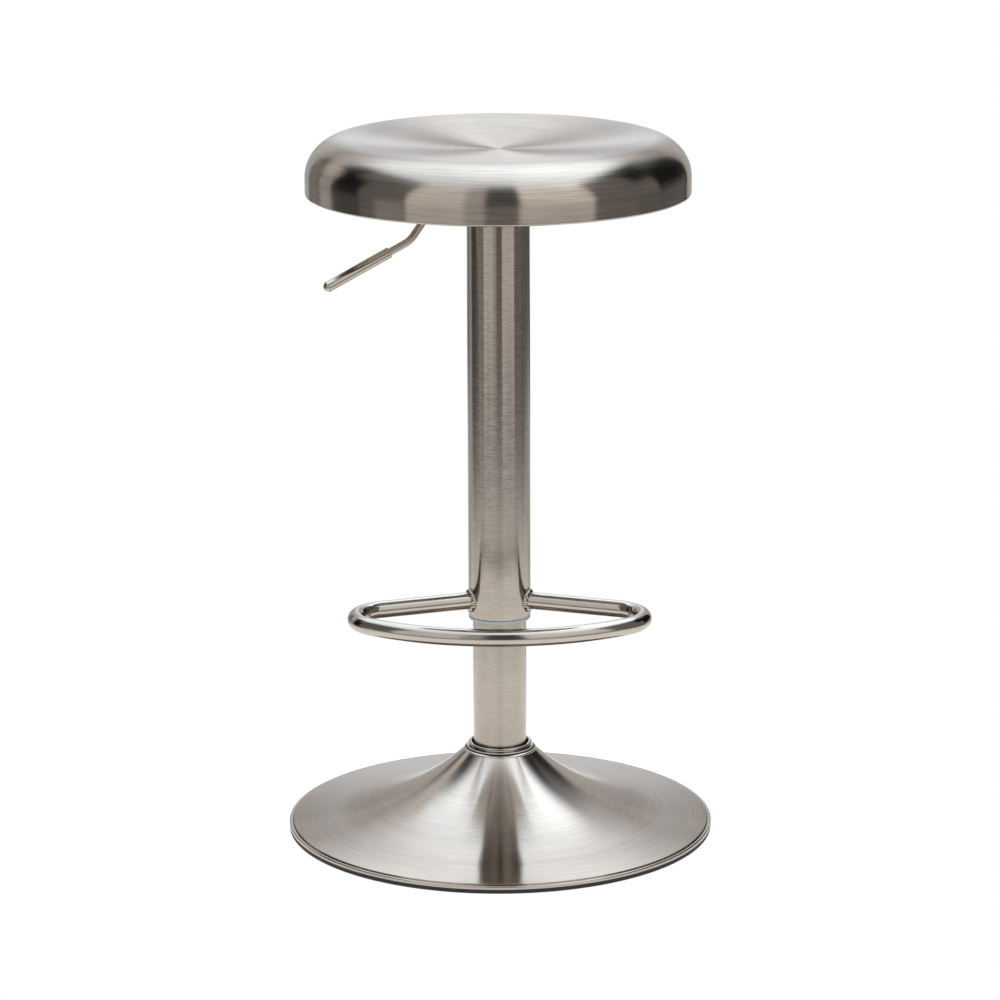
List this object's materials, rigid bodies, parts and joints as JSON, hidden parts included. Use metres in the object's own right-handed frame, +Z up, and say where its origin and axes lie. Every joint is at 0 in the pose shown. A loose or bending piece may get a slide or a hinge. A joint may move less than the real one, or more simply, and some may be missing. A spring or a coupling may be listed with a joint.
{
  "type": "bar stool",
  "caption": "Backless swivel bar stool: dished metal seat on a lever-operated gas lift, loop footrest on the sliding cover tube, spun bell base.",
  "frame": {"origin": "centre of the round base, on the floor", "axes": "+Z up along the column, -Y towards the footrest, +X to the right when the footrest is nearest the viewer"},
  "size_m": [0.4004, 0.4004, 0.6575],
  "materials": {
    "brushed_steel": "satin, spun and brushed",
    "polished_steel": "polished",
    "zinc_steel": "bright zinc plated",
    "bearing_steel": "ground and polished",
    "black_steel": "black, semi-matt",
    "cast_iron": "as cast",
    "black_rubber": "moulded",
    "pale_grey_plastic": "moulded",
    "black_plastic": "moulded",
    "aluminium": "turned",
    "brass": "turned"
  },
  "bodies": {
    "base": {"base_bell": "brushed_steel", "floor_ring": "black_rubber", "base_plate": "black_steel", "ballast_ring": "cast_iron", "taper_socket": "black_steel", "neck_trim_ring": "polished_steel", "stand_tube": "brushed_steel", "guide_bushing": "black_plastic", "bearing_lower_race": "bearing_steel"},
    "ball_cage": {"bearing_cage": "brass", "bearing_balls": "bearing_steel"},
    "lift_rod": {"bearing_upper_race": "bearing_steel", "piston_rod": "bearing_steel", "rod_washer": "zinc_steel", "rod_clip": "zinc_steel", "rubber_buffer": "black_rubber", "piston": "aluminium", "piston_ring": "black_rubber"},
    "seat_column": {"pressure_tube": "black_steel", "rod_guide": "black_plastic", "rod_seal": "black_rubber", "valve_body": "brass", "taper_hub": "black_steel", "column_cover_tube": "brushed_steel", "cover_top_ring": "zinc_steel", "glide_bush": "pale_grey_plastic", "footrest_ring": "polished_steel", "footrest_welds": "polished_steel", "seat_pan": "brushed_steel", "seat_backing_dish": "black_steel", "mount_plate": "zinc_steel", "seat_bolts": "zinc_steel", "seat_washers": "zinc_steel", "seat_weld_nuts": "zinc_steel", "lever_bracket": "zinc_steel", "pivot_pin": "zinc_steel", "pivot_clip": "zinc_steel"},
    "lever": {"lever_rocker": "zinc_steel", "lever_rod": "polished_steel", "lever_grip": "polished_steel"},
    "valve_pin": {"valve_pin": "bearing_steel"}
  },
  "joints": [
    {"name": "seat_swivel", "type": "hinge", "parent": "base", "child": "lift_rod", "pos_m": [0, 0, 0.02], "axis": [0, 0, 1], "continuous": true},
    {"name": "ball_cage_turn", "type": "hinge", "parent": "base", "child": "ball_cage", "pos_m": [0, 0, 0.02], "axis": [0, 0, 1], "continuous": true},
    {"name": "seat_height", "type": "slide", "parent": "lift_rod", "child": "seat_column", "axis": [0, 0, 1], "range_m": [-0.105, 0.105]},
    {"name": "lever_pivot", "type": "hinge", "parent": "seat_column", "child": "lever", "pos_m": [-0.02067, -0.00752, 0.616], "axis": [-0.342, 0.9397, 0], "range_deg": [0, 7], "stiffness_Nm_per_rad": 6, "springref_deg": -17.19},
    {"name": "valve_pin_press", "type": "slide", "parent": "seat_column", "child": "valve_pin", "axis": [0, 0, -1], "range_m": [0, 0.0027]}
  ],
  "couplings": [
    {"joint": "ball_cage_turn", "follows": "seat_swivel", "ratio": 0.5},
    {"joint": "valve_pin_press", "follows": "lever_pivot", "m_per_rad": 0.022}
  ]
}
